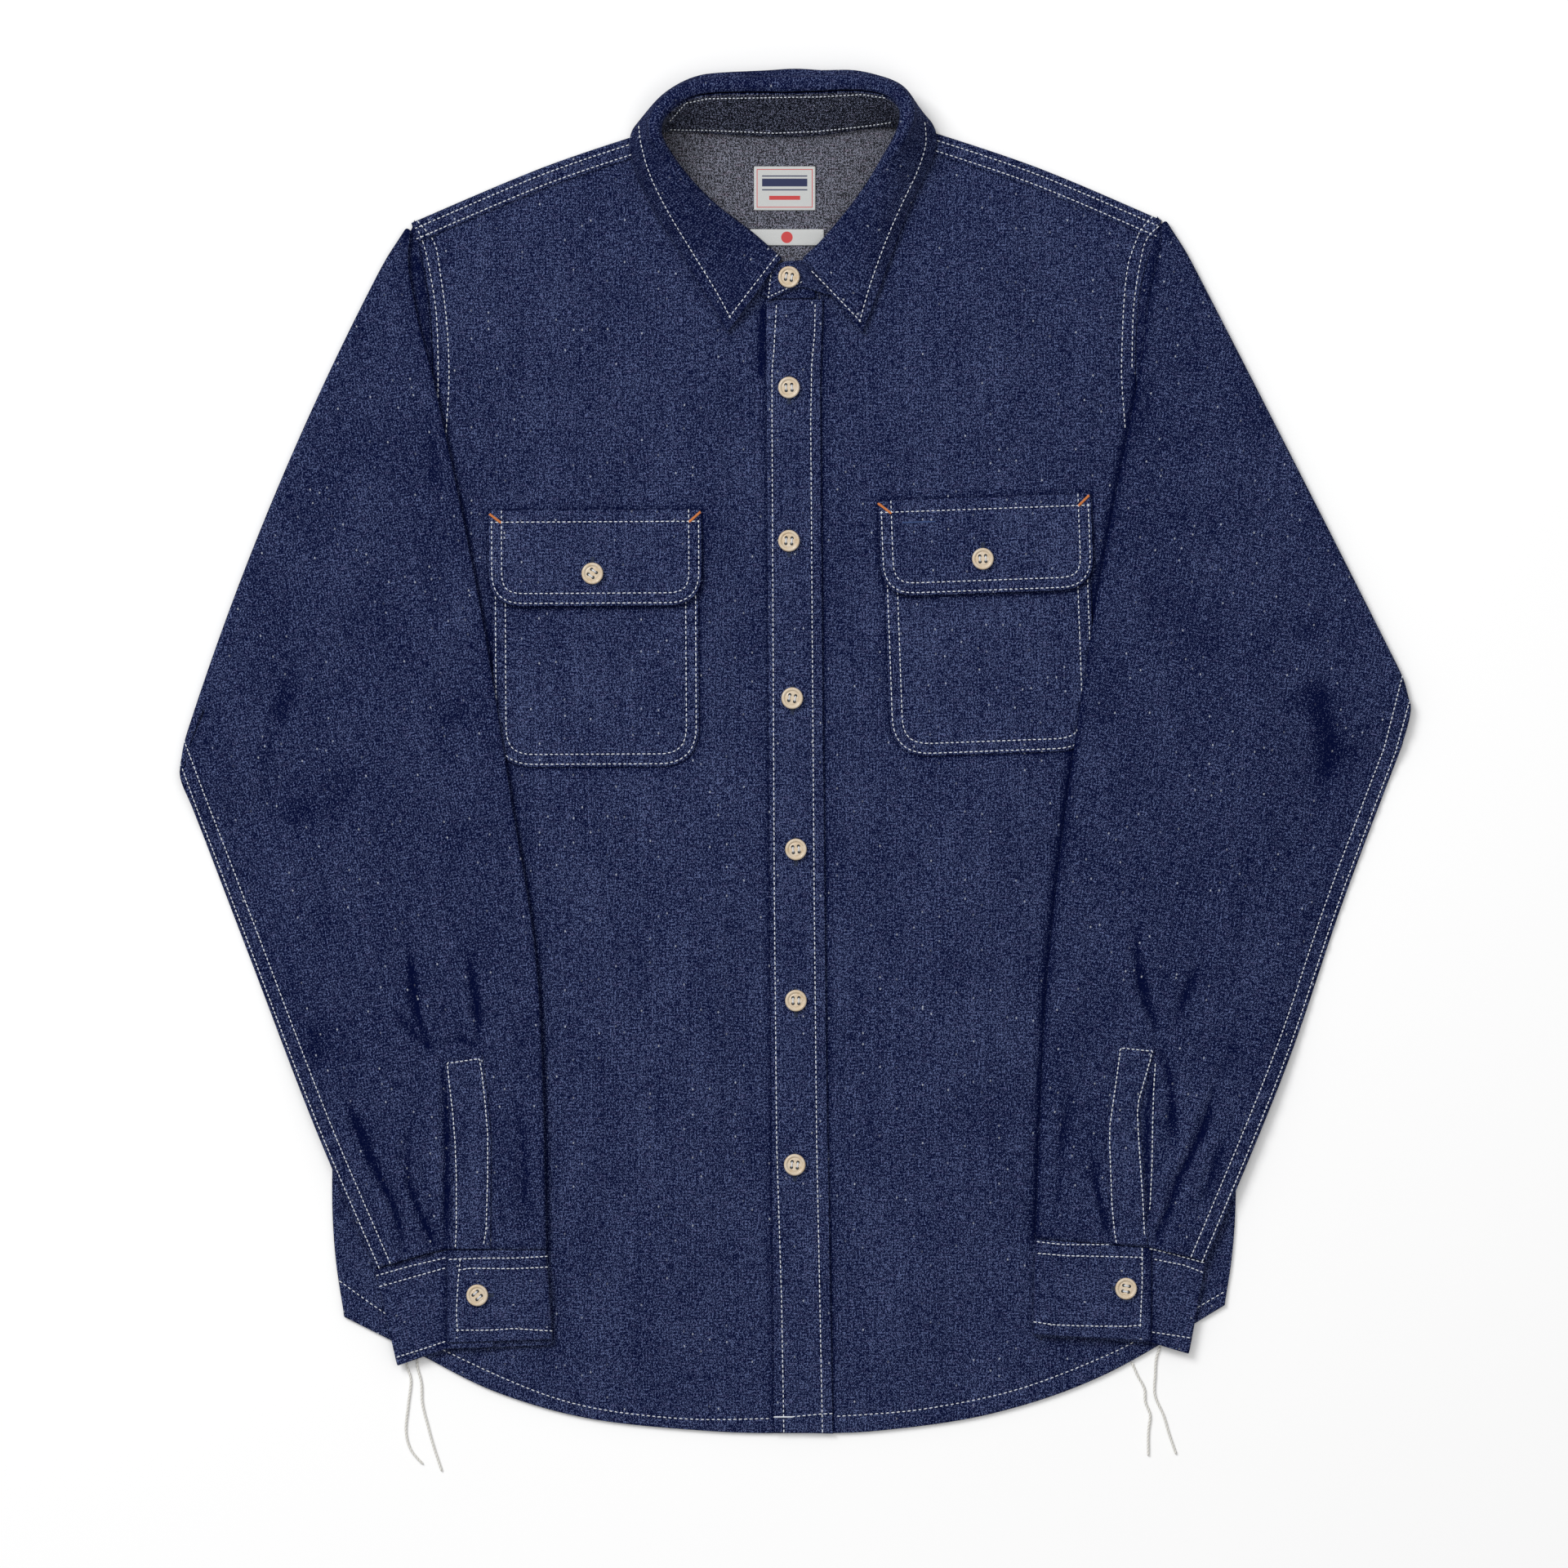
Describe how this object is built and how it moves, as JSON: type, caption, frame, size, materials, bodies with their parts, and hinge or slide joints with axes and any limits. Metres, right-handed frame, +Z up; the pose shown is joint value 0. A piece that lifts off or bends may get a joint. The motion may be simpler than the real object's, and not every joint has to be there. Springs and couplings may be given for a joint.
{
  "type": "denim shirt",
  "caption": "Long-sleeved denim work shirt laid flat, face up, with chest pockets and its sleeves folded forward over the body.",
  "frame": {"origin": "centre of the cloth's bounding box, on the surface that the shirt lies on", "axes": "+Y from hem to collar, +Z up from the surface, +X to the wearer's left"},
  "size_m": [0.723, 0.8231, 0.0317],
  "materials": {
    "denim": "dark indigo denim, twill, with pale slubs",
    "denim_inside": "pale grey-blue inner face of the denim",
    "button": "cream, satin",
    "label": "off-white woven tape",
    "thread": "ecru cotton thread"
  },
  "bodies": {
    "root": {"front_right": "denim", "front_left": "denim", "front_placket": "denim", "collar_stand": "denim", "collar_leaf": "denim", "pocket_right": "denim", "flap_right": "denim", "pocket_left": "denim", "flap_left": "denim", "sleeve_right": "denim", "cuff_right": "denim", "sleeve_placket_right": "denim", "sleeve_left": "denim", "cuff_left": "denim", "sleeve_placket_left": "denim", "back_panel": "denim_inside", "button_front_1": "button", "button_front_2": "button", "button_front_3": "button", "button_front_4": "button", "button_front_5": "button", "button_front_6": "button", "button_collar": "button", "button_flap_right": "button", "button_flap_left": "button", "button_cuff_right": "button", "button_cuff_left": "button", "label_upper": "label", "label_lower": "label", "thread_1": "thread", "thread_2": "thread", "thread_3": "thread", "thread_4": "thread"}
  },
  "joints": []
}
